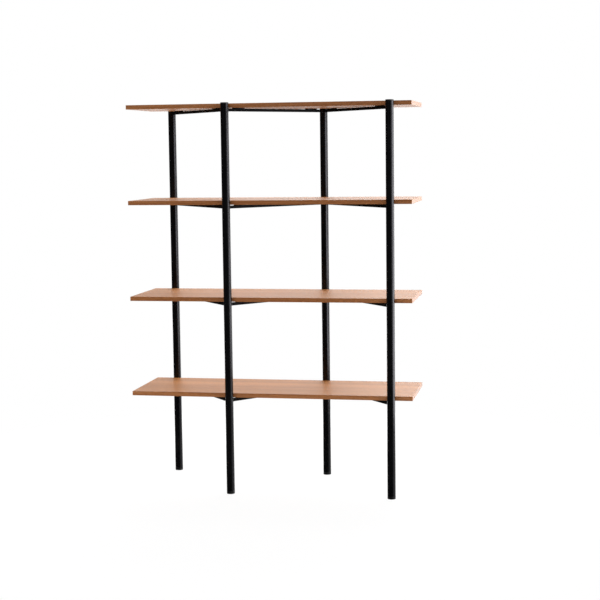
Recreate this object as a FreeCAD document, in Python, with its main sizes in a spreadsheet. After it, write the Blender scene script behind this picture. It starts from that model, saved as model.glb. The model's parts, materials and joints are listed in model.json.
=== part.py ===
# Pipe shelving unit: four boards on four round posts that stand in a zigzag, two before the boards and
# two behind them. Under each board three rails run from post to post. Each rail end carries a seat plate,
# which laps over a lug on the post and is bolted to it, and the board lies on the seats.
# Millimetres, +Z up, origin on the floor under the middle of the unit, front towards -Y.

import FreeCAD, Part
import Sketcher
import math
import os

# Driving dimensions of the unit, each a cell of the sheet
SIZES = {
    # whole unit and spacing of the boards, from top face to top face
    "total_height": 1640,
    "post_rise": 4,
    "top_bay": 400,
    "middle_bay": 405,
    "lower_bay": 405,
    # boards
    "shelf_width": 1200,
    "shelf_depth": 380,
    "shelf_thickness": 18,
    "shelf_edge_round": 1,
    # posts, how far the boards reach past the middle of the end posts, and the gap to the boards
    "post_diameter": 34,
    "post_wall": 1.6,
    "end_overhang": 87,
    "post_clearance": 1,
    # caps on the posts
    "cap_head_height": 6,
    "cap_edge_round": 2,
    "cap_plug_depth": 14,
    "cap_plug_wall": 2,
    # feet: pad, stud and the insert that the stud turns in
    "foot_pad_diameter": 34,
    "foot_pad_height": 10,
    "foot_pad_edge_round": 2,
    "foot_socket_depth": 6,
    "foot_gap": 0.3,
    "insert_flange_height": 2,
    "insert_depth": 20,
    "stud_diameter": 8,
    "stud_length": 41,
    "stud_chamfer": 1,
    "stud_clearance": 0.3,
    # rails, lugs and seat plates, measured along the rail from the middle of the post
    "rail_width": 16,
    "rail_height": 12,
    "rail_gap": 1,
    "lug_reach": 72,
    "weld_gap": 0.1,
    "seat_width": 20,
    "seat_thickness": 3,
    "seat_length": 51,
    "seat_lap": 25,
    # bolts from the lugs into the seats
    "bolt_diameter": 5,
    "bolt_head_diameter": 10,
    "bolt_socket_width": 3,
    "bolt_socket_depth": 2,
    "bolt_setback": 0.5,
    # screws through rail and seat into the boards
    "screw_diameter": 4,
    "screw_head_diameter": 8,
    "screw_slot_width": 1,
    "screw_slot_length": 4,
    "screw_slot_depth": 1.5,
    "screw_tip_height": 4,
    "pilot_spare_depth": 1,
    # clearance all round a fastener, and all round a snug fit
    "hole_clearance": 0.2,
    "fit_clearance": 0.1,
    # the part of the board's thickness that a screw bites into
    "screw_bite_share": 0.65,
}

# Posts in the order of the zigzag: name, place along the unit as a share of the pitch, side (rear is +1)
POST_PITCH_SHARES = (
    ("rear_left", -1.5, 1),
    ("front_left", -0.5, -1),
    ("rear_right", 0.5, 1),
    ("front_right", 1.5, -1),
)
RAILS = ("left", "middle", "right")

# Lengths worked out from the cells, as expressions
POST_INNER_DIAMETER = "(sizes.post_diameter - 2 * sizes.post_wall)"
PLUG_RADIUS = f"({POST_INNER_DIAMETER} / 2 - sizes.fit_clearance)"
FOOT_STACK = "(sizes.foot_pad_height + sizes.foot_gap + sizes.insert_flange_height)"
POST_LENGTH = f"(sizes.total_height - sizes.cap_head_height - {FOOT_STACK})"
POST_PITCH = "((sizes.shelf_width - 2 * sizes.end_overhang) / 3)"
POST_OFFSET = "(sizes.shelf_depth / 2 + sizes.post_clearance + sizes.post_diameter / 2)"
RAIL_SPAN = f"hypot({POST_PITCH}; 2 * {POST_OFFSET})"
RAIL_START = "(sizes.lug_reach + sizes.rail_gap)"
SEAT_START = "(sizes.lug_reach - sizes.seat_lap)"
SEAT_END = f"({SEAT_START} + sizes.seat_length)"
BOLT_PLACE = "(sizes.lug_reach - sizes.seat_lap / 2)"
SCREW_PLACE = f"(({RAIL_START} + {SEAT_END}) / 2)"
BOLT_HOLE = "(sizes.bolt_diameter + 2 * sizes.hole_clearance)"
SCREW_HOLE = "(sizes.screw_diameter + 2 * sizes.hole_clearance)"
PILOT_HOLE = "(sizes.screw_diameter + 2 * sizes.fit_clearance)"
SCREW_BITE = "(sizes.shelf_thickness * sizes.screw_bite_share)"
UNDER_SHELF = "(sizes.rail_height + sizes.seat_thickness)"
BOLT_LENGTH = f"({UNDER_SHELF} - sizes.bolt_setback)"
SCREW_LENGTH = f"({UNDER_SHELF} + {SCREW_BITE})"

DOCUMENT = FreeCAD.newDocument("pipe_shelving_unit")
UP = FreeCAD.Vector(0, 0, 1)
FULL_TURN = 360
SAME_PLACE = 1e-6


def make_sheet():
    """Put the driving dimensions into a sheet, one named cell each."""
    sheet = DOCUMENT.addObject("Spreadsheet::Sheet", "sizes")
    for row, (alias, value) in enumerate(SIZES.items(), start=1):
        sheet.set(f"A{row}", str(value))
        sheet.setAlias(f"A{row}", alias)
    DOCUMENT.recompute()
    return sheet


SHEET = make_sheet()


def value(expression):
    """The number that an expression of the sheet's cells comes to."""
    return float(SHEET.evalExpression(expression))


# Sketches. In a sketch's constraints -1 and -2 are its horizontal and vertical axis, (-1, 1) is its origin,
# and 1, 2 and 3 are the start, the end and the centre of a line or circle

def new_body(name):
    body = DOCUMENT.addObject("PartDesign::Body", name)
    body.Label = name
    return body


def new_sketch(body, name, plane_role="XY_Plane"):
    """A sketch on one of the body's own origin planes."""
    plane = next(item for item in body.Origin.OriginFeatures if item.Role == plane_role)
    sketch = body.newObject("Sketcher::SketchObject", f"{body.Name}_{name}")
    sketch.AttachmentSupport = (plane, "")
    sketch.MapMode = "FlatFace"
    return sketch


def bind_constraint(sketch, constraint, expression):
    index = sketch.addConstraint(constraint)
    sketch.setExpression(f"Constraints[{index}]", expression)


def fix_point(sketch, geometry, position, across, along):
    """Tie a point to the sketch's origin by two expressions; a zero puts it on the axis."""
    for kind, axis, expression in (("DistanceX", -2, across), ("DistanceY", -1, along)):
        if expression == "0":
            sketch.addConstraint(Sketcher.Constraint("PointOnObject", geometry, position, axis))
        else:
            distance = Sketcher.Constraint(kind, -1, 1, geometry, position, value(expression))
            bind_constraint(sketch, distance, expression)


def draw_outline(sketch, points):
    """A closed outline of straight lines through points given as pairs of expressions."""
    corners = [FreeCAD.Vector(value(across), value(along), 0) for across, along in points]
    lines = []
    for index, corner in enumerate(corners):
        following = corners[(index + 1) % len(corners)]
        lines.append(sketch.addGeometry(Part.LineSegment(corner, following)))
    for index, line in enumerate(lines):
        following = lines[(index + 1) % len(lines)]
        sketch.addConstraint(Sketcher.Constraint("Coincident", line, 2, following, 1))
    for line, (across, along) in zip(lines, points):
        fix_point(sketch, line, 1, across, along)


def draw_rectangle(sketch, start, end, width):
    """A rectangle from start to end along X, centred on the X axis."""
    low = f"-{width} / 2"
    high = f"{width} / 2"
    draw_outline(sketch, ((start, low), (end, low), (end, high), (start, high)))


def draw_circle(sketch, across, along, diameter):
    centre = FreeCAD.Vector(value(across), value(along), 0)
    circle = sketch.addGeometry(Part.Circle(centre, UP, value(diameter) / 2))
    fix_point(sketch, circle, 3, across, along)
    bind_constraint(sketch, Sketcher.Constraint("Diameter", circle, value(diameter)), diameter)


# Features

def pad(body, sketch, length):
    feature = body.newObject("PartDesign::Pad", f"{sketch.Name}_pad")
    feature.Profile = sketch
    feature.setExpression("Length", length)
    DOCUMENT.recompute()


def pocket(body, sketch, depth):
    """Cut upwards from the sketch, and make sure that something was cut."""
    before = body.Shape.Volume
    feature = body.newObject("PartDesign::Pocket", f"{sketch.Name}_pocket")
    feature.Profile = sketch
    feature.Reversed = True
    feature.setExpression("Length", depth)
    DOCUMENT.recompute()
    if body.Shape.Volume >= before:
        raise RuntimeError(f"{feature.Name} cuts nothing")


def turn(body, outline):
    """Turn an outline of (radius, height) pairs about the Z axis."""
    sketch = new_sketch(body, "outline", "XZ_Plane")
    draw_outline(sketch, outline)
    feature = body.newObject("PartDesign::Revolution", f"{body.Name}_turned")
    feature.Profile = sketch
    feature.ReferenceAxis = (sketch, ["V_Axis"])
    feature.Angle = FULL_TURN
    DOCUMENT.recompute()


def ring_names(body, diameter, height):
    """Names of the circular edges with this diameter that lie at this height."""
    names = []
    for index, edge in enumerate(body.Shape.Edges, start=1):
        if not isinstance(edge.Curve, Part.Circle):
            continue
        same_height = math.isclose(edge.Curve.Center.z, height, abs_tol=SAME_PLACE)
        same_size = math.isclose(2 * edge.Curve.Radius, diameter, abs_tol=SAME_PLACE)
        if same_height and same_size:
            names.append(f"Edge{index}")
    return names


def dress_edges(body, kind, name, edges, size_property, size):
    """Round or chamfer the named edges of the body's last feature."""
    base = body.Tip
    feature = body.newObject(f"PartDesign::{kind}", f"{body.Name}_{name}")
    feature.Base = (base, edges)
    feature.setExpression(size_property, size)
    DOCUMENT.recompute()


def countersink(body, hole, head_diameter, name):
    """Chamfer a hole's lower rim so that a head with a right-angled cone lies flush in it."""
    edges = ring_names(body, value(hole), 0)
    size = f"({head_diameter} - {hole}) / 2 + sizes.hole_clearance"
    dress_edges(body, "Chamfer", name, edges, "Size", size)


# Sub-parts that stand once in each place

def make_shelf(name, screw_places):
    """A board with eased edges and blind pilot holes in its underside, at z = 0 of its own frame."""
    body = new_body(name)
    plan = new_sketch(body, "plan")
    draw_rectangle(plan, "-sizes.shelf_width / 2", "sizes.shelf_width / 2", "sizes.shelf_depth")
    pad(body, plan, "sizes.shelf_thickness")
    edges = [f"Edge{index}" for index in range(1, len(body.Shape.Edges) + 1)]
    dress_edges(body, "Fillet", "eased", edges, "Radius", "sizes.shelf_edge_round")
    pilots = new_sketch(body, "pilots")
    for place in screw_places:
        draw_circle(pilots, str(place.x), str(place.y), PILOT_HOLE)
    pocket(body, pilots, f"{SCREW_BITE} + sizes.pilot_spare_depth")
    return body


def make_post(name):
    """A round tube, standing on z = 0 of its own frame."""
    body = new_body(name)
    section = new_sketch(body, "section")
    draw_circle(section, "0", "0", "sizes.post_diameter")
    draw_circle(section, "0", "0", POST_INNER_DIAMETER)
    pad(body, section, POST_LENGTH)
    return body


def make_cap(name):
    """A cap with a hollow plug below its head."""
    body = new_body(name)
    plug_bore = f"{PLUG_RADIUS} - sizes.cap_plug_wall"
    head_radius = "sizes.post_diameter / 2"
    top = "sizes.cap_plug_depth + sizes.cap_head_height"
    turn(body, (
        (plug_bore, "0"),
        (PLUG_RADIUS, "0"),
        (PLUG_RADIUS, "sizes.cap_plug_depth"),
        (head_radius, "sizes.cap_plug_depth"),
        (head_radius, top),
        ("0", top),
        ("0", "sizes.cap_plug_depth"),
        (plug_bore, "sizes.cap_plug_depth"),
    ))
    rim = ring_names(body, value("sizes.post_diameter"), value(top))
    dress_edges(body, "Fillet", "rim", rim, "Radius", "sizes.cap_edge_round")
    return body


def make_foot_insert(name):
    """A flanged plug in the lower end of a post, bored for the stud."""
    body = new_body(name)
    bore = "sizes.stud_diameter / 2 + sizes.stud_clearance"
    top = "sizes.insert_flange_height + sizes.insert_depth"
    turn(body, (
        (bore, "0"),
        ("sizes.post_diameter / 2", "0"),
        ("sizes.post_diameter / 2", "sizes.insert_flange_height"),
        (PLUG_RADIUS, "sizes.insert_flange_height"),
        (PLUG_RADIUS, top),
        (bore, top),
    ))
    return body


def make_foot_stud(name):
    """The stud of a foot, with a chamfered upper end."""
    body = new_body(name)
    turn(body, (
        ("0", "0"),
        ("sizes.stud_diameter / 2", "0"),
        ("sizes.stud_diameter / 2", "sizes.stud_length - sizes.stud_chamfer"),
        ("sizes.stud_diameter / 2 - sizes.stud_chamfer", "sizes.stud_length"),
        ("0", "sizes.stud_length"),
    ))
    return body


def make_foot_pad(name):
    """The pad of a foot, with a socket for the stud and a rounded lower rim."""
    body = new_body(name)
    socket = "sizes.stud_diameter / 2 + sizes.fit_clearance"
    socket_floor = "sizes.foot_pad_height - sizes.foot_socket_depth"
    turn(body, (
        ("0", "0"),
        ("sizes.foot_pad_diameter / 2", "0"),
        ("sizes.foot_pad_diameter / 2", "sizes.foot_pad_height"),
        (socket, "sizes.foot_pad_height"),
        (socket, socket_floor),
        ("0", socket_floor),
    ))
    rim = ring_names(body, value("sizes.foot_pad_diameter"), 0)
    dress_edges(body, "Fillet", "rim", rim, "Radius", "sizes.foot_pad_edge_round")
    return body


def make_rail(name):
    """A flat bar between two lugs, with a countersunk screw hole near each end."""
    body = new_body(name)
    plan = new_sketch(body, "plan")
    draw_rectangle(plan, RAIL_START, f"{RAIL_SPAN} - {RAIL_START}", "sizes.rail_width")
    pad(body, plan, "sizes.rail_height")
    holes = new_sketch(body, "holes")
    draw_circle(holes, SCREW_PLACE, "0", SCREW_HOLE)
    draw_circle(holes, f"{RAIL_SPAN} - {SCREW_PLACE}", "0", SCREW_HOLE)
    pocket(body, holes, "sizes.rail_height")
    countersink(body, SCREW_HOLE, "sizes.screw_head_diameter", "countersinks")
    return body


# Patterns for the sub-parts that are groups. For the lug and the seat, the post's middle is the origin
# and the rail runs along +X

def make_lug():
    """A short bar welded to the post, hollowed to its round and countersunk for the bolt."""
    body = new_body("lug_pattern")
    plan = new_sketch(body, "plan")
    draw_rectangle(plan, "0", "sizes.lug_reach", "sizes.rail_width")
    pad(body, plan, "sizes.rail_height")
    saddle = new_sketch(body, "saddle")
    draw_circle(saddle, "0", "0", "sizes.post_diameter + 2 * sizes.weld_gap")
    pocket(body, saddle, "sizes.rail_height")
    hole = new_sketch(body, "hole")
    draw_circle(hole, BOLT_PLACE, "0", BOLT_HOLE)
    pocket(body, hole, "sizes.rail_height")
    countersink(body, BOLT_HOLE, "sizes.bolt_head_diameter", "countersink")
    return body


def make_seat():
    """The plate on the end of a rail that laps over the lug and carries the board."""
    body = new_body("seat_pattern")
    plan = new_sketch(body, "plan")
    draw_rectangle(plan, SEAT_START, SEAT_END, "sizes.seat_width")
    pad(body, plan, "sizes.seat_thickness")
    holes = new_sketch(body, "holes")
    draw_circle(holes, BOLT_PLACE, "0", "sizes.bolt_diameter + 2 * sizes.fit_clearance")
    draw_circle(holes, SCREW_PLACE, "0", SCREW_HOLE)
    pocket(body, holes, "sizes.seat_thickness")
    return body


def make_bolt():
    """A countersunk bolt with a hexagon socket, its head down at z = 0."""
    body = new_body("bolt_pattern")
    radius = "sizes.bolt_diameter / 2"
    head_radius = "sizes.bolt_head_diameter / 2"
    turn(body, (
        ("0", "0"),
        (head_radius, "0"),
        (radius, f"{head_radius} - {radius}"),
        (radius, BOLT_LENGTH),
        ("0", BOLT_LENGTH),
    ))
    socket = new_sketch(body, "socket")
    corner = "sizes.bolt_socket_width / sqrt(3)"
    half_corner = f"{corner} / 2"
    flat = "sizes.bolt_socket_width / 2"
    draw_outline(socket, (
        (corner, "0"),
        (half_corner, flat),
        (f"-{half_corner}", flat),
        (f"-{corner}", "0"),
        (f"-{half_corner}", f"-{flat}"),
        (half_corner, f"-{flat}"),
    ))
    pocket(body, socket, "sizes.bolt_socket_depth")
    return body


def make_screw():
    """A countersunk wood screw with a cross slot and a pointed tip, its head down at z = 0."""
    body = new_body("screw_pattern")
    radius = "sizes.screw_diameter / 2"
    head_radius = "sizes.screw_head_diameter / 2"
    turn(body, (
        ("0", "0"),
        (head_radius, "0"),
        (radius, f"{head_radius} - {radius}"),
        (radius, f"{SCREW_LENGTH} - sizes.screw_tip_height"),
        ("0", SCREW_LENGTH),
    ))
    slot = new_sketch(body, "slot")
    arm = "sizes.screw_slot_length / 2"
    side = "sizes.screw_slot_width / 2"
    draw_outline(slot, (
        (arm, f"-{side}"),
        (arm, side),
        (side, side),
        (side, arm),
        (f"-{side}", arm),
        (f"-{side}", side),
        (f"-{arm}", side),
        (f"-{arm}", f"-{side}"),
        (f"-{side}", f"-{side}"),
        (f"-{side}", f"-{arm}"),
        (side, f"-{arm}"),
        (side, f"-{side}"),
    ))
    pocket(body, slot, "sizes.screw_slot_depth")
    return body


def make_group(name, pattern, placements):
    """A sub-part of separate like solids: the pattern, repeated at each placement."""
    copies = []
    for index, placement in enumerate(placements, start=1):
        copy = DOCUMENT.addObject("App::Link", f"{name}_{index}")
        copy.LinkedObject = pattern
        copy.Placement = placement
        copies.append(copy)
    group = DOCUMENT.addObject("Part::Compound", name)
    group.Label = name
    group.Links = copies
    return group


# Places

def post_places():
    """Name and foot of each post, in the order of the zigzag."""
    pitch = value(POST_PITCH)
    offset = value(POST_OFFSET)
    places = []
    for name, share, side in POST_PITCH_SHARES:
        places.append((name, FreeCAD.Vector(share * pitch, side * offset, 0)))
    return places


def shelf_tops():
    """Name and upper face of each board, from the top down."""
    top = value("sizes.total_height - sizes.post_rise")
    upper = top - value("sizes.top_bay")
    lower = upper - value("sizes.middle_bay")
    bottom = lower - value("sizes.lower_bay")
    return {"top": top, "upper": upper, "lower": lower, "bottom": bottom}


def facing(start, end, height):
    """A placement at start, lifted to a height, whose X axis points to end."""
    heading = end - start
    angle = math.degrees(math.atan2(heading.y, heading.x))
    return FreeCAD.Placement(start + UP * height, FreeCAD.Rotation(UP, angle))


def shifted(placements, along, up):
    """The placements, each moved along its own X and Z axes."""
    step = FreeCAD.Placement(FreeCAD.Vector(value(along), 0, value(up)), FreeCAD.Rotation())
    return [placement.multiply(step) for placement in placements]


def rail_ends(posts):
    """Each rail end as the post it starts from and the post it points to, in places of the zigzag."""
    ends = []
    for first in range(len(RAILS)):
        ends.append((first, first + 1))
        ends.append((first + 1, first))
    return [(start, posts[start][1], posts[end][1]) for start, end in ends]


def stand(item, foot, height):
    item.Placement = FreeCAD.Placement(foot + UP * height, FreeCAD.Rotation())
    return item


# The unit

def build_shelf_level(name, top, posts, patterns):
    """A board with its rails, seats, bolts and screws."""
    shelf_bottom = top - value("sizes.shelf_thickness")
    rail_bottom = shelf_bottom - value(UNDER_SHELF)
    ends = [facing(start, end, rail_bottom) for _, start, end in rail_ends(posts)]
    screws = shifted(ends, SCREW_PLACE, "0")
    board = make_shelf(f"{name}_shelf", [screw.Base for screw in screws])
    level = [stand(board, FreeCAD.Vector(), shelf_bottom)]
    for index, rail in enumerate(RAILS):
        bar = make_rail(f"{name}_{rail}_rail")
        bar.Placement = facing(posts[index][1], posts[index + 1][1], rail_bottom)
        level.append(bar)
    seats = shifted(ends, "0", "sizes.rail_height")
    level.append(make_group(f"{name}_rail_seats", patterns["seat"], seats))
    level.append(make_group(f"{name}_seat_bolts", patterns["bolt"], shifted(ends, BOLT_PLACE, "0")))
    level.append(make_group(f"{name}_shelf_screws", patterns["screw"], screws))
    return level


def build_post(name, foot, lug_pattern, lug_placements):
    """A post with its cap, lugs and foot."""
    insert_bottom = value("sizes.foot_pad_height + sizes.foot_gap")
    stud_bottom = value("sizes.foot_pad_height - sizes.foot_socket_depth")
    cap_bottom = value("sizes.total_height - sizes.cap_head_height - sizes.cap_plug_depth")
    return [
        stand(make_post(f"{name}_post"), foot, value(FOOT_STACK)),
        stand(make_cap(f"{name}_post_cap"), foot, cap_bottom),
        make_group(f"{name}_post_lugs", lug_pattern, lug_placements),
        stand(make_foot_insert(f"{name}_foot_insert"), foot, insert_bottom),
        stand(make_foot_stud(f"{name}_foot_stud"), foot, stud_bottom),
        stand(make_foot_pad(f"{name}_foot_pad"), foot, 0),
    ]


def build_unit():
    """Every sub-part of the unit."""
    posts = post_places()
    tops = shelf_tops()
    patterns = {"seat": make_seat(), "bolt": make_bolt(), "screw": make_screw()}
    lug = make_lug()
    sub_parts = []
    for name, top in tops.items():
        sub_parts += build_shelf_level(name, top, posts, patterns)
    below_top = value(f"sizes.shelf_thickness + {UNDER_SHELF}")
    for index, (name, foot) in enumerate(posts):
        headings = [(start, end) for post, start, end in rail_ends(posts) if post == index]
        lugs = [facing(start, end, top - below_top) for top in tops.values() for start, end in headings]
        sub_parts += build_post(name, foot, lug, lugs)
    DOCUMENT.recompute()
    return sub_parts


def check_unit(sub_parts):
    """Stop if any object failed, or a sub-part has no sound shape."""
    for item in DOCUMENT.Objects:
        if "Invalid" in item.State or "Error" in item.State:
            raise RuntimeError(f"{item.Name} failed: {item.State}")
    for item in sub_parts:
        if item.Shape.isNull() or not item.Shape.isValid():
            raise RuntimeError(f"{item.Label} has no sound shape")


def write_parts(sub_parts):
    os.makedirs("parts", exist_ok=True)
    for item in sub_parts:
        item.Shape.exportStep(f"parts/{item.Label}.step")


SUB_PARTS = build_unit()
check_unit(SUB_PARTS)
write_parts(SUB_PARTS)
for sub_part in SUB_PARTS:
    print(sub_part.Label, len(sub_part.Shape.Solids), round(sub_part.Shape.Volume))
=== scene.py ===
# Looks of the pipe shelving unit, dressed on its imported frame. Metres, +Z up, front towards -Y.
import json
import math

import bmesh
import bpy
from mathutils import Color, Matrix, Vector


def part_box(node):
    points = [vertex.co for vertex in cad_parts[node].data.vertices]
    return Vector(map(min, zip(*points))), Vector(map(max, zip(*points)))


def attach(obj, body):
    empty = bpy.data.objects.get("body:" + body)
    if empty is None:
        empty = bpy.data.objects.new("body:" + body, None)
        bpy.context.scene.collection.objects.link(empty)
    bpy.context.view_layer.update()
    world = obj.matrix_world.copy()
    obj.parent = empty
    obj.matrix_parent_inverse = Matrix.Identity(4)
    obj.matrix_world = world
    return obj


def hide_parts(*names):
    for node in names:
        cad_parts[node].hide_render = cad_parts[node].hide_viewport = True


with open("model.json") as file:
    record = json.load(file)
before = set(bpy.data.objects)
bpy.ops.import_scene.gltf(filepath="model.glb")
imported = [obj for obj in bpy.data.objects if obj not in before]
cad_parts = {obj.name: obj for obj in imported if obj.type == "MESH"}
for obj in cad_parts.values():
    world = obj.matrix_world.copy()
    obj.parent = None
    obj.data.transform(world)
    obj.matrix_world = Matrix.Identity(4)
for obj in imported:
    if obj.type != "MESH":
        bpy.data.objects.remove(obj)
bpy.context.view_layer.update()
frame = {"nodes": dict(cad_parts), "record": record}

NODES = frame["nodes"]
ACROSS = Vector((1, 0, 0))
BACK = Vector((0, 1, 0))
UP = Vector((0, 0, 1))

# Levels from the top down, and posts in the order of the zigzag that the rails follow
LEVELS = ("top", "upper", "lower", "bottom")
POSTS = ("rear_left", "front_left", "rear_right", "front_right")
RAILS = ("left", "middle", "right")

# Camera of the photograph, found from the posts and the boards' edges
CAMERA_PLACE = Vector((1.2658, -6.0555, 1.4438))
CAMERA_YAW = math.radians(10.9313)
CAMERA_PITCH = math.radians(-5.9348)
CAMERA_ROLL = math.radians(0.6847)
CAMERA_LENS_MM = 86.944
CAMERA_SENSOR_MM = 36


# Shader nodes

# Sockets of a mix node, by what it mixes: factor, first and second input, and output
MIX_SOCKETS = {"FLOAT": (0, 2, 3, 0), "VECTOR": (0, 4, 5, 1), "RGBA": (0, 6, 7, 2)}

# The largest display value of a colour
FULL_CHANNEL = 255


def linear(red, green, blue):
    """A colour written in display values, as the linear values that a shader takes."""
    shown = Color([channel / FULL_CHANNEL for channel in (red, green, blue)])
    return (*shown.from_srgb_to_scene_linear(), 1)


def feed(tree, socket, source):
    """Link a socket to another that feeds it, or set its value."""
    if isinstance(source, bpy.types.NodeSocket):
        tree.links.new(source, socket)
    else:
        socket.default_value = source


def add_node(tree, kind, inputs=None, **settings):
    """A new shader node, with its settings and its inputs: values, or sockets to link from."""
    node = tree.nodes.new(f"ShaderNode{kind}")
    for name, setting in settings.items():
        setattr(node, name, setting)
    for socket, source in (inputs or {}).items():
        feed(tree, node.inputs[socket], source)
    return node


def maths(tree, operation, first, second=0.0):
    return add_node(tree, "Math", {0: first, 1: second}, operation=operation).outputs[0]


def product(tree, first, second):
    return maths(tree, "MULTIPLY", first, second)


def absolute(tree, value):
    return maths(tree, "ABSOLUTE", value)


def dot_product(tree, first, second):
    node = add_node(tree, "VectorMath", {0: first, 1: second}, operation="DOT_PRODUCT")
    return node.outputs["Value"]


def ranged(tree, source, low, high, to_low=0.0, to_high=1.0):
    """A value carried smoothly from one range to another, and held at its ends."""
    inputs = {"Value": source, "From Min": low, "From Max": high, "To Min": to_low, "To Max": to_high}
    return add_node(tree, "MapRange", inputs, interpolation_type="SMOOTHSTEP").outputs["Result"]


def scaled(tree, vector, scale, offset=(0, 0, 0)):
    inputs = {"Vector": vector, "Scale": scale, "Location": offset}
    return add_node(tree, "Mapping", inputs).outputs["Vector"]


def noise(tree, vector, scale=1.0, detail=2.0, roughness=0.5):
    inputs = {"Vector": vector, "Scale": scale, "Detail": detail, "Roughness": roughness}
    return add_node(tree, "TexNoise", inputs).outputs["Fac"]


def mixed(tree, factor, first, second, kind="RGBA", blend="MIX"):
    """Two numbers, vectors or colours, mixed by a factor."""
    *inputs, output = MIX_SOCKETS[kind]
    sources = dict(zip(inputs, (factor, first, second)))
    return add_node(tree, "Mix", sources, data_type=kind, blend_type=blend).outputs[output]


def bump(tree, height, distance):
    return add_node(tree, "Bump", {"Height": height, "Distance": distance}).outputs["Normal"]


def new_material(name):
    """A material with a principled shader, its node tree and that shader."""
    material = bpy.data.materials.new(name)
    material.use_nodes = True
    tree = material.node_tree
    shader = next(node for node in tree.nodes if node.type == "BSDF_PRINCIPLED")
    return material, tree, shader


def set_shader(tree, shader, **inputs):
    """Set a shader's sockets by name, with underscores for the spaces."""
    for name, source in inputs.items():
        feed(tree, shader.inputs[name.replace("_", " ")], source)


# The stretch of a noise's values that a finish spreads over its own range
MIDDLE_NOISE = (0.3, 0.7)


# Lacquered wood

WOOD_DARK = linear(144, 85, 41)
WOOD_PALE = linear(207, 139, 84)
WOOD_PORE = linear(108, 63, 35)
WOOD_JOINT = linear(92, 54, 31)
WOOD_RUBBED = linear(212, 156, 112)
WOOD_ROUGHNESS = (0.36, 0.46)
WOOD_GLOSS = 0.34
WOOD_RELIEF = 0.00006
LACQUER_WEIGHT = 0.06
LACQUER_ROUGHNESS = 0.32

# The boards' faces are a little yellower than their edge bands
FACE_HUE = (0.965, 1.045, 1, 1)
BAND_HUE = (1, 0.96, 0.93, 1)

# The heart of each board's log: offset across the board, depth below it, and slope along it
HEARTS = {
    "top": dict(offset=0.05, depth=0.10, slope=0.05),
    "upper": dict(offset=-0.09, depth=0.07, slope=-0.06),
    "lower": dict(offset=0.02, depth=0.05, slope=0.045),
    "bottom": dict(offset=-0.04, depth=0.06, slope=-0.05),
}

# Growth lines round the heart, and patterns with their scales along, across and through the grain
GROWTH_LINES = {"Scale": 46, "Distortion": 5.5, "Detail": 3, "Detail Scale": 1.3, "Detail Roughness": 0.55}
STREAK_SCALES = (0.5, 22, 22)
STREAK_NOISE = dict(detail=3, roughness=0.55)
FIBRE_SCALES = (5, 380, 380)
FIBRE_NOISE = dict(detail=4, roughness=0.62)
PORE_SCALES = (55, 1900, 1900)
PORE_NOISE = dict(detail=1)
PORE_RANGE = (0.60, 0.70)

# Parts of lines, streaks and fibre in the wood's tone, of pores in its colour, and of fibre in its relief
GROWTH_SHARE = 0.26
STREAK_SHARE = 0.38
FIBRE_SHARE = 0.36
PORE_SHARE = 0.55
FIBRE_RELIEF_SHARE = 0.35

# The edge band: its thickness, the joint's dark core and soft edge, and the rubbed strip along the arris
BAND_THICKNESS = 0.0013
JOINT_RANGE = (0.00008, 0.0002)
JOINT_SHARE = 0.5
RUB_REACH = (0.0002, 0.0012)
RUB_RANGE = (0.45, 0.7)
RUB_SHARE = 0.3

# A surface faces along an axis where that axis has more than this share of its normal
FACING_SHARE = 0.7


def faces_along(tree, part_of_normal):
    """Where a surface faces along an axis, given that axis's part of its normal."""
    return maths(tree, "GREATER_THAN", absolute(tree, part_of_normal), FACING_SHARE)


def board_space(tree, centre):
    """Places from a board's middle, places with X along the grain, and where its two faces are."""
    coords = add_node(tree, "TexCoord").outputs
    local = add_node(tree, "VectorMath", {0: coords["Object"], 1: centre}, operation="SUBTRACT").outputs[0]
    place = add_node(tree, "SeparateXYZ", {0: local}).outputs
    facing = add_node(tree, "SeparateXYZ", {0: coords["Normal"]}).outputs
    # The grain runs along the board, and along the band on the two ends
    swapped = add_node(tree, "CombineXYZ", {0: place["Y"], 1: place["X"], 2: place["Z"]}).outputs[0]
    grain = mixed(tree, faces_along(tree, facing["X"]), local, swapped, "VECTOR")
    return place, grain, faces_along(tree, facing["Z"])


def growth_lines(tree, grain, heart):
    """Rings round a log's heart, cut lengthwise by the board."""
    offset = (0, -heart["offset"], heart["depth"])
    tilt = (0, heart["slope"], 0)
    log = add_node(tree, "Mapping", {"Vector": grain, "Location": offset, "Rotation": tilt})
    inputs = {"Vector": log.outputs["Vector"], **GROWTH_LINES}
    rings = add_node(tree, "TexWave", inputs, wave_type="RINGS", rings_direction="X", wave_profile="SAW")
    return rings.outputs["Fac"]


def wood_tone(tree, growth, streaks, fibre):
    """How pale the wood is, from its growth lines, streaks and fibre."""
    tone = product(tree, growth, GROWTH_SHARE)
    for pattern, share in ((streaks, STREAK_SHARE), (fibre, FIBRE_SHARE)):
        tone = maths(tree, "ADD", tone, product(tree, ranged(tree, pattern, *MIDDLE_NOISE), share))
    return tone


def edge_distance(tree, place, half):
    """How far a place on a board's face is from the nearest edge."""
    from_end = maths(tree, "SUBTRACT", half.x, absolute(tree, place["X"]))
    from_side = maths(tree, "SUBTRACT", half.y, absolute(tree, place["Y"]))
    return maths(tree, "MINIMUM", from_end, from_side)


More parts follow.
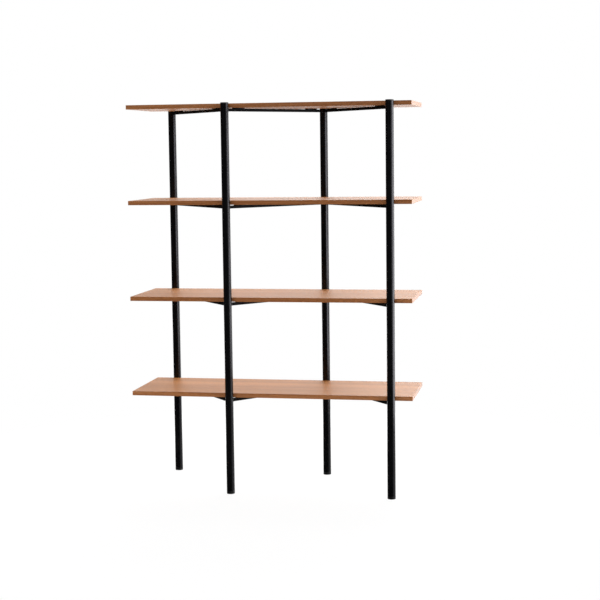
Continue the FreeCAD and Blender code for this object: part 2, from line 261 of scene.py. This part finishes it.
def make_wood(level):
    """Veneer under a satin lacquer: growth lines, streaks, fibre and pores, with a band round the edges."""
    low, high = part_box(f"{level}_shelf")
    centre = (low + high) / 2
    material, tree, shader = new_material(f"lacquered_wood_{level}")
    place, grain, on_face = board_space(tree, centre)
    growth = growth_lines(tree, grain, HEARTS[level])
    streaks = noise(tree, scaled(tree, grain, STREAK_SCALES, centre), **STREAK_NOISE)
    fibre = noise(tree, scaled(tree, grain, FIBRE_SCALES, centre), **FIBRE_NOISE)
    pores = ranged(tree, noise(tree, scaled(tree, grain, PORE_SCALES, centre), **PORE_NOISE), *PORE_RANGE)
    colour = mixed(tree, wood_tone(tree, growth, streaks, fibre), WOOD_DARK, WOOD_PALE)
    colour = mixed(tree, product(tree, pores, PORE_SHARE), colour, WOOD_PORE)
    # The band's joint is a hairline just inside the arris of the faces
    from_edge = edge_distance(tree, place, (high - low) / 2)
    off_joint = absolute(tree, maths(tree, "SUBTRACT", from_edge, BAND_THICKNESS))
    joint = product(tree, ranged(tree, off_joint, *JOINT_RANGE, 1, 0), on_face)
    colour = mixed(tree, product(tree, joint, JOINT_SHARE), colour, WOOD_JOINT)
    # Rubbed arrises are a little paler
    rub = product(tree, ranged(tree, from_edge, *RUB_REACH, 1, 0), ranged(tree, streaks, *RUB_RANGE))
    colour = mixed(tree, product(tree, rub, RUB_SHARE), colour, WOOD_RUBBED)
    colour = mixed(tree, 1.0, colour, mixed(tree, on_face, BAND_HUE, FACE_HUE), blend="MULTIPLY")
    roughness = ranged(tree, fibre, *MIDDLE_NOISE, *WOOD_ROUGHNESS)
    relief = product(tree, fibre, FIBRE_RELIEF_SHARE)
    relief = maths(tree, "SUBTRACT", relief, maths(tree, "ADD", pores, joint))
    set_shader(tree, shader, Base_Color=colour, Roughness=roughness, Specular_IOR_Level=WOOD_GLOSS,
               Coat_Weight=LACQUER_WEIGHT, Coat_Roughness=LACQUER_ROUGHNESS,
               Normal=bump(tree, relief, WOOD_RELIEF))
    return material


# Powder-coated steel

COAT_BLACK = linear(8, 8, 9)
COAT_DUSTY = linear(14, 14, 15)
COAT_RUBBED = linear(74, 73, 72)
PEEL_NOISE = dict(scale=420, detail=2)
TOOTH_NOISE = dict(scale=2600, detail=2)
TOOTH_SHARE = 0.3
COAT_RELIEF = 0.00003
DUST_NOISE = dict(scale=9, detail=4, roughness=0.6)
DUST_RANGE = (0.35, 0.7)

# Arrises are found by how the surface turns within a small radius
COAT_ARRIS_RADIUS = 0.0009
COAT_ARRIS_SAMPLES = 4
COAT_ARRIS_LIKENESS = (0.75, 0.98)
COAT_RUB_RANGE = (0.4, 0.65)
COAT_RUB_SHARE = 0.5

# The sheen of both coats is a little blue. The tubes' coat is glossier than the flat steel's
COAT_TINT = (0.92, 0.91, 1, 1)
TUBE_COAT = dict(roughness=(0.20, 0.27), gloss=0.3)
FLAT_COAT = dict(roughness=(0.42, 0.52), gloss=0.045)


def make_black_steel(name, roughness, gloss):
    """Black powder coat: orange peel, a fine tooth, faint dust, and a greyer tone on rubbed arrises."""
    material, tree, shader = new_material(name)
    coords = add_node(tree, "TexCoord").outputs["Object"]
    peel = noise(tree, coords, **PEEL_NOISE)
    tooth = noise(tree, coords, **TOOTH_NOISE)
    dust = noise(tree, coords, **DUST_NOISE)
    rounded = add_node(tree, "Bevel", {"Radius": COAT_ARRIS_RADIUS}, samples=COAT_ARRIS_SAMPLES).outputs[0]
    likeness = dot_product(tree, rounded, add_node(tree, "NewGeometry").outputs["Normal"])
    arris = ranged(tree, likeness, *COAT_ARRIS_LIKENESS, 1, 0)
    rub = product(tree, arris, ranged(tree, dust, *COAT_RUB_RANGE))
    colour = mixed(tree, ranged(tree, dust, *DUST_RANGE), COAT_BLACK, COAT_DUSTY)
    colour = mixed(tree, product(tree, rub, COAT_RUB_SHARE), colour, COAT_RUBBED)
    relief = maths(tree, "ADD", peel, product(tree, tooth, TOOTH_SHARE))
    set_shader(tree, shader, Base_Color=colour, Roughness=ranged(tree, dust, *MIDDLE_NOISE, *roughness),
               Specular_IOR_Level=gloss, Specular_Tint=COAT_TINT, Normal=bump(tree, relief, COAT_RELIEF))
    return material


# Moulded plastic

PLASTIC_DARK = linear(17, 17, 18)
PLASTIC_PALE = linear(26, 26, 27)
PLASTIC_ROUGHNESS = (0.44, 0.58)
PLASTIC_GLOSS = 0.4
PLASTIC_RELIEF = 0.00004
MOULD_NOISE = dict(scale=1500, detail=3, roughness=0.65)
CLOUD_NOISE = dict(scale=40, detail=3)
CLOUD_RANGE = (0.35, 0.7)


def make_black_plastic():
    """Moulded black plastic with a fine spark-eroded grain."""
    material, tree, shader = new_material("moulded_plastic")
    coords = add_node(tree, "TexCoord").outputs["Object"]
    grain = noise(tree, coords, **MOULD_NOISE)
    cloud = noise(tree, coords, **CLOUD_NOISE)
    colour = mixed(tree, ranged(tree, cloud, *CLOUD_RANGE), PLASTIC_DARK, PLASTIC_PALE)
    roughness = ranged(tree, grain, *MIDDLE_NOISE, *PLASTIC_ROUGHNESS)
    set_shader(tree, shader, Base_Color=colour, Roughness=roughness, Specular_IOR_Level=PLASTIC_GLOSS,
               Normal=bump(tree, grain, PLASTIC_RELIEF))
    return material


# Zinc-plated steel

ZINC_DARK = linear(150, 152, 156)
ZINC_PALE = linear(196, 197, 199)
ZINC_ROUGHNESS = (0.26, 0.42)
ZINC_RELIEF = 0.00002
PLATING_NOISE = dict(scale=260, detail=4, roughness=0.6)
SCRATCH_SCALES = (400, 400, 3000)


def make_zinc_steel():
    """Zinc-plated steel with a cloudy, slightly dull plating."""
    material, tree, shader = new_material("zinc_plated_steel")
    coords = add_node(tree, "TexCoord").outputs["Object"]
    plating = noise(tree, coords, **PLATING_NOISE)
    scratch = noise(tree, scaled(tree, coords, SCRATCH_SCALES))
    colour = mixed(tree, ranged(tree, plating, *MIDDLE_NOISE), ZINC_DARK, ZINC_PALE)
    roughness = ranged(tree, plating, *MIDDLE_NOISE, *ZINC_ROUGHNESS)
    set_shader(tree, shader, Base_Color=colour, Roughness=roughness, Metallic=1.0,
               Normal=bump(tree, scratch, ZINC_RELIEF))
    return material


# Finishes of the carried-over nodes

# Broken arrises of the flat steel
STEEL_ARRIS = 0.0005
ARRIS_STEPS = 2
ARRIS_ANGLE = math.radians(40)
MERGE_DISTANCE = 1e-6
FLAT_STEEL = ("_rail", "_lugs", "_seats")


def dress(item, material):
    item.data.materials.clear()
    item.data.materials.append(material)


def break_arrises(item):
    """Small rounds on the sharp edges of a flat steel piece."""
    merge = item.modifiers.new("merge", "WELD")
    merge.merge_threshold = MERGE_DISTANCE
    arris = item.modifiers.new("arris", "BEVEL")
    arris.width = STEEL_ARRIS
    arris.segments = ARRIS_STEPS
    arris.limit_method = "ANGLE"
    arris.angle_limit = ARRIS_ANGLE
    arris.use_clamp_overlap = True
    item.modifiers.new("normals", "WEIGHTED_NORMAL")


def dress_nodes():
    """Give every carried-over node its material, and return those that new pieces share, by slot."""
    finishes = {
        "black_steel": make_black_steel("powder_coated_steel", **TUBE_COAT),
        "black_plastic": make_black_plastic(),
        "zinc_steel": make_zinc_steel(),
    }
    matte = make_black_steel("matte_coated_steel", **FLAT_COAT)
    for level in LEVELS:
        dress(NODES[f"{level}_shelf"], make_wood(level))
    for sub_part in frame["record"]["subparts"]:
        item = NODES[sub_part["node"]]
        slot = sub_part["material_slot"]
        if slot in finishes:
            dress(item, finishes[slot])
        if item.name.endswith(FLAT_STEEL):
            dress(item, matte)
            break_arrises(item)
    return finishes


# New pieces

def mesh_object(name, mesh):
    """An object in the scene from a bmesh, which is used up."""
    data = bpy.data.meshes.new(name)
    mesh.to_mesh(data)
    mesh.free()
    item = bpy.data.objects.new(name, data)
    bpy.context.scene.collection.objects.link(item)
    return item


def add_piece(name, mesh, material, body):
    """A new piece from a bmesh, which rides on a body."""
    bmesh.ops.recalc_face_normals(mesh, faces=mesh.faces)
    piece = mesh_object(name, mesh)
    piece.data.shade_smooth()
    piece.data.materials.append(material)
    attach(piece, body)
    return piece


def add_ring(mesh, centre, out, side, radii):
    """A ring of points about a centre, one for each radius, which turns from out towards side."""
    ring = []
    for step, radius in enumerate(radii):
        angle = 2 * math.pi * step / len(radii)
        spoke = out * math.cos(angle) + side * math.sin(angle)
        ring.append(mesh.verts.new(centre + spoke * radius))
    return ring


def add_skin(mesh, rings, closed):
    """Faces over rings of points, in a loop or with both ends covered."""
    pairs = list(zip(rings, rings[1:]))
    if closed:
        pairs.append((rings[-1], rings[0]))
    else:
        mesh.faces.new(reversed(rings[0]))
        mesh.faces.new(rings[-1])
    for first, second in pairs:
        for step in range(len(first)):
            following = (step + 1) % len(first)
            mesh.faces.new((first[step], first[following], second[following], second[step]))


# Weld beads: thickness, steps and ripples along the bead, sides of its section, and taper of an open end
BEAD_RADIUS = 0.0016
BEAD_STEP = 0.0007
BEAD_LEAST_STEPS = 2
BEAD_RIPPLE = 0.0028
BEAD_RIPPLE_SHARE = 0.16
RIPPLE_MIDDLE_SHARE = 0.5
BEAD_SIDES = 10
BEAD_TAPER = 3

# The seats' beads are thinner, and stand a little out of the corner that they fill
SEAT_BEAD_RADIUS = 0.0012
SEAT_BEAD_OUT_SHARE = 1 / 3


def axis_of(post):
    """The foot point of a post's axis."""
    low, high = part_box(f"{post}_post")
    return Vector(((low.x + high.x) / 2, (low.y + high.y) / 2, 0))


def add_bead(mesh, points, normals, radius, closed):
    """A bead along points: rings of a rippled radius, in a loop or tapered towards both ends."""
    count = len(points)
    rings = []
    travelled = 0.0
    for index, point in enumerate(points):
        after = points[(index + 1) % count] if closed else points[min(index + 1, count - 1)]
        before = points[index - 1] if closed else points[max(index - 1, 0)]
        along = (after - before).normalized()
        out = (normals[index] - along * normals[index].dot(along)).normalized()
        if index:
            travelled += (point - points[index - 1]).length
        wave = abs(math.sin(math.pi * travelled / BEAD_RIPPLE))
        size = radius * (1 + BEAD_RIPPLE_SHARE * (wave - RIPPLE_MIDDLE_SHARE))
        if not closed:
            size *= min(1, BEAD_TAPER * math.sin(math.pi * (2 * index + 1) / (2 * count)))
        rings.append(add_ring(mesh, point, out, along.cross(out), [size] * BEAD_SIDES))
    add_skin(mesh, rings, closed)


def spaced(start, end):
    """Points from start up to end, about one bead step apart."""
    count = max(BEAD_LEAST_STEPS, round((end - start).length / BEAD_STEP))
    return [start.lerp(end, index / count) for index in range(count)]


def lug_weld(mesh, foot, heading, radius, half_width, low, high):
    """The bead round a lug where it meets the post, on the post's round."""
    corners = [(-half_width, low), (half_width, low), (half_width, high), (-half_width, high)]
    flat = []
    for first, second in zip(corners, corners[1:] + corners[:1]):
        flat += spaced(Vector((*first, 0)), Vector((*second, 0)))
    side = UP.cross(heading)
    points = []
    normals = []
    for across, height, _ in flat:
        out = heading * math.sqrt(radius ** 2 - across ** 2) + side * across
        points.append(foot + out + UP * height)
        normals.append(out.normalized())
    add_bead(mesh, points, normals, BEAD_RADIUS, True)


def seat_welds(mesh, foot, heading, half_width, start, end, height):
    """The two beads under a seat, in the corners that it makes with the rail's sides."""
    side = UP.cross(heading)
    standing_out = SEAT_BEAD_RADIUS * SEAT_BEAD_OUT_SHARE
    for hand in (-1, 1):
        line = foot + side * hand * (half_width + standing_out) + UP * (height - standing_out)
        points = spaced(line + heading * start, line + heading * end)
        add_bead(mesh, points, [UP] * len(points), SEAT_BEAD_RADIUS, False)


def reach(node, foot, other, width):
    """How far a node's points near one end of a rail reach along it, and to its side: least and most."""
    heading = (other - foot).normalized()
    side = UP.cross(heading)
    along = []
    across = []
    for vertex in NODES[node].data.vertices:
        offset = vertex.co - foot
        if abs(offset.dot(side)) < width and 0 < offset.dot(heading) < (other - foot).length / 2:
            along.append(offset.dot(heading))
            across.append(offset.dot(side))
    return (min(along), max(along)), (min(across), max(across))


def make_welds(material):
    """One piece of beads for each level."""
    low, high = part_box(f"{POSTS[0]}_post")
    post_radius = (high.x - low.x) / 2
    feet = [axis_of(post) for post in POSTS]
    for level in LEVELS:
        mesh = bmesh.new()
        for index, rail in enumerate(RAILS):
            node = f"{level}_{rail}_rail"
            bottom, top = (corner.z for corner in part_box(node))
            ends = feet[index:index + 2]
            for foot, other in (ends, ends[::-1]):
                heading = (other - foot).normalized()
                (start, _), (_, half_width) = reach(node, foot, other, post_radius)
                (_, end), _ = reach(f"{level}_rail_seats", foot, other, post_radius)
                lug_weld(mesh, foot, heading, post_radius, half_width, bottom, top)
                seat_welds(mesh, foot, heading, half_width, start, end, top)
        add_piece(f"{level}_weld_beads", mesh, material, "frame")


# Threads of the foot studs, with a lead-in at each end that is cut deeper than the thread
THREAD_PITCH = 0.00125
THREAD_DEPTH = 0.00062
THREAD_SIDES = 32
THREAD_RINGS_PER_TURN = 8
LEAD_IN = 0.001
LEAD_IN_DEPTH_SHARE = 1.4


def thread_radii(radius, height, from_end):
    """A stud's radii round one section, at a height and at a distance from its nearer end."""
    lead_in = max(0, 1 - from_end / LEAD_IN)
    radii = []
    for step in range(THREAD_SIDES):
        phase = (height / THREAD_PITCH - step / THREAD_SIDES) % 1
        depth_share = max(abs(2 * phase - 1), lead_in * LEAD_IN_DEPTH_SHARE)
        radii.append(radius - depth_share * THREAD_DEPTH)
    return radii


def make_thread(post, material):
    """A threaded stud in place of a foot's plain one."""
    low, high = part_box(f"{post}_foot_stud")
    foot = Vector(((low.x + high.x) / 2, (low.y + high.y) / 2, low.z))
    radius = (high.x - low.x) / 2
    length = high.z - low.z
    count = round(length / THREAD_PITCH * THREAD_RINGS_PER_TURN)
    mesh = bmesh.new()
    rings = []
    for index in range(count + 1):
        height = length * index / count
        radii = thread_radii(radius, height, min(height, length - height))
        rings.append(add_ring(mesh, foot + UP * height, ACROSS, BACK, radii))
    add_skin(mesh, rings, False)
    piece = add_piece(f"{post}_foot_thread", mesh, material, f"{post}_foot")
    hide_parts(f"{post}_foot_stud")


# Studio

# The floor is pale, nearly clear to the camera, and fades out into the white round it
FLOOR_RADIUS = 1.9
FLOOR_SIDES = 64
FLOOR_FADE_START = 1.1
FLOOR_PALE = (0.85, 0.85, 0.85, 1)
FLOOR_CLEAR_SHARE = 0.9
FLOOR_GLOW = 0.15
WHITE = (1, 1, 1, 1)

# The surroundings: white to the camera, and for light and gloss bright behind the unit and to its right
WHITE_LEVEL = 1.0
BRIGHT_SIDE = (0.7, 0.71, 0)
MIRRORED_TURN = (-0.1, 0.6)
MIRRORED_LEVELS = (0.04, 0.85)
AMBIENT_TURN = (-0.4, 0.6)
AMBIENT_LEVELS = (0.3, 1.0)

# Lamps that aren't soft show only in gloss, and those that aren't mirrored give only soft light
LAMPS = {
    "right_front_card": dict(
        place=(1.8, -1.0, 1.45), aim=(0, -1.0, 1.45), width=0.6, height=2.4, power=10, soft=False),
    "right_middle_card": dict(
        place=(1.2, -0.1, 1.4), aim=(0, -0.1, 1.4), width=0.5, height=2.4, power=26, soft=False),
    "right_rear_card": dict(
        place=(1.8, 0.8, 1.45), aim=(0, 0.8, 1.45), width=0.8, height=2.4, power=5, soft=False),
    "right_softbox": dict(place=(2.3, 0.9, 2.5), aim=(0, 0, 0.8), width=2.0, height=1.6, power=10),
    "left_softbox": dict(
        place=(-2.2, 0.4, 2.3), aim=(0, 0, 0.8), width=2.0, height=1.6, power=17, mirrored=False),
    "front_softbox": dict(place=(-1.2, -3.8, 3.2), aim=(0, 0, 0.8), width=3.0, height=2.0, power=18),
    "rear_softbox": dict(place=(0.5, 2.7, 3.0), aim=(0, 0, 0.8), width=3.2, height=1.6, power=42),
    "rear_fill": dict(
        place=(0, 2.5, 2.0), aim=(0, 0, 0.6), width=3.2, height=1.6, power=88, mirrored=False),
    "rear_right_card": dict(
        place=(0.3, 4.2, 1.0), aim=(0.3, 0, 1.0), width=1.0, height=1.6, power=4, soft=False),
    "end_card": dict(
        place=(1.3, 4.0, 0.7), aim=(0.3, 0, 0.7), width=2.0, height=2.8, power=36, soft=False),
    "low_left_fill": dict(
        place=(-2.0, 0.3, 0.15), aim=(-0.2, 0, 1.3), width=1.6, height=1.0, power=22, mirrored=False),
    "low_rear_card": dict(
        place=(-1.9, 3.0, -0.1), aim=(-0.5, 0, 1.6), width=1.6, height=0.9, power=14, soft=False),
    "floor_bounce": dict(
        place=(-0.2, -1.3, 0.02), aim=(-0.2, -1.3, 1), width=3.0, height=1.2, power=6, mirrored=False),
}


def make_floor_material():
    """Pale for the light that it sends back, and open where it fades, in gloss and from below."""
    material, tree, shader = new_material("pale_floor")
    tree.nodes.remove(shader)
    path = add_node(tree, "LightPath").outputs
    seen = path["Is Camera Ray"]
    place = add_node(tree, "TexCoord").outputs["Object"]
    distance = add_node(tree, "VectorMath", {0: place}, operation="LENGTH").outputs["Value"]
    fade = ranged(tree, distance, FLOOR_FADE_START, FLOOR_RADIUS)
    clear = maths(tree, "MAXIMUM", fade, product(tree, seen, FLOOR_CLEAR_SHARE))
    clear = maths(tree, "MAXIMUM", clear, path["Is Glossy Ray"])
    clear = maths(tree, "MAXIMUM", clear, add_node(tree, "NewGeometry").outputs["Backfacing"])
    surface = add_node(tree, "BsdfDiffuse", {"Color": mixed(tree, seen, FLOOR_PALE, WHITE)}).outputs[0]
    glow_level = product(tree, seen, FLOOR_GLOW)
    glow = add_node(tree, "Emission", {"Color": WHITE, "Strength": glow_level}).outputs[0]
    lifted = add_node(tree, "AddShader", {0: surface, 1: glow}).outputs[0]
    open_air = add_node(tree, "BsdfTransparent").outputs[0]
    shown = add_node(tree, "MixShader", {0: clear, 1: lifted, 2: open_air}).outputs[0]
    output = next(node for node in tree.nodes if node.type == "OUTPUT_MATERIAL")
    feed(tree, output.inputs["Surface"], shown)
    return material


def make_floor():
    """A pale floor that keeps the unit's shadow."""
    mesh = bmesh.new()
    bmesh.ops.create_circle(mesh, cap_ends=True, segments=FLOOR_SIDES, radius=FLOOR_RADIUS)
    floor = mesh_object("floor", mesh)
    floor.data.materials.append(make_floor_material())


def make_world():
    """White for what the camera sees, with levels of their own for gloss and for soft light."""
    world = bpy.data.worlds.new("studio")
    world.use_nodes = True
    bpy.context.scene.world = world
    tree = world.node_tree
    tree.nodes.clear()
    path = add_node(tree, "LightPath").outputs
    towards = dot_product(tree, add_node(tree, "TexCoord").outputs["Generated"], BRIGHT_SIDE)
    mirrored = maths(tree, "MAXIMUM", path["Is Glossy Ray"], path["Is Transmission Ray"])
    reflection = ranged(tree, towards, *MIRRORED_TURN, *MIRRORED_LEVELS)
    ambient = ranged(tree, towards, *AMBIENT_TURN, *AMBIENT_LEVELS)
    light = mixed(tree, mirrored, ambient, reflection, "FLOAT")
    level = mixed(tree, path["Is Camera Ray"], light, WHITE_LEVEL, "FLOAT")
    background = add_node(tree, "Background", {"Color": WHITE, "Strength": level})
    output = add_node(tree, "OutputWorld")
    feed(tree, output.inputs["Surface"], background.outputs[0])


def add_lamp(name, place, aim, width, height, power, soft=True, mirrored=True):
    """A large lamp at a place, turned to an aim, for soft light, for what gloss mirrors, or for both."""
    lamp = bpy.data.lights.new(name, "AREA")
    lamp.shape = "RECTANGLE"
    lamp.size = width
    lamp.size_y = height
    lamp.energy = power
    item = bpy.data.objects.new(name, lamp)
    item.location = place
    item.rotation_euler = (Vector(aim) - Vector(place)).to_track_quat("-Z", "Y").to_euler()
    item.visible_camera = False
    item.visible_diffuse = soft
    item.visible_glossy = mirrored
    bpy.context.scene.collection.objects.link(item)


def make_camera():
    """The photograph's camera: turned about the vertical, tipped down, and rolled about its own axis."""
    data = bpy.data.cameras.new("camera")
    data.lens = CAMERA_LENS_MM
    data.sensor_width = CAMERA_SENSOR_MM
    camera = bpy.data.objects.new("camera", data)
    turned = Matrix.Rotation(CAMERA_YAW, 4, "Z")
    tipped = Matrix.Rotation(math.pi / 2 + CAMERA_PITCH, 4, "X")
    rolled = Matrix.Rotation(-CAMERA_ROLL, 4, "Z")
    camera.matrix_world = Matrix.Translation(CAMERA_PLACE) @ turned @ tipped @ rolled
    bpy.context.scene.collection.objects.link(camera)
    bpy.context.scene.camera = camera


FINISHES = dress_nodes()
make_welds(FINISHES["black_steel"])
for post_name in POSTS:
    make_thread(post_name, FINISHES["zinc_steel"])
make_floor()
make_world()
for lamp_name, lamp_settings in LAMPS.items():
    add_lamp(lamp_name, **lamp_settings)
make_camera()
bpy.context.scene.view_settings.view_transform = "Standard"
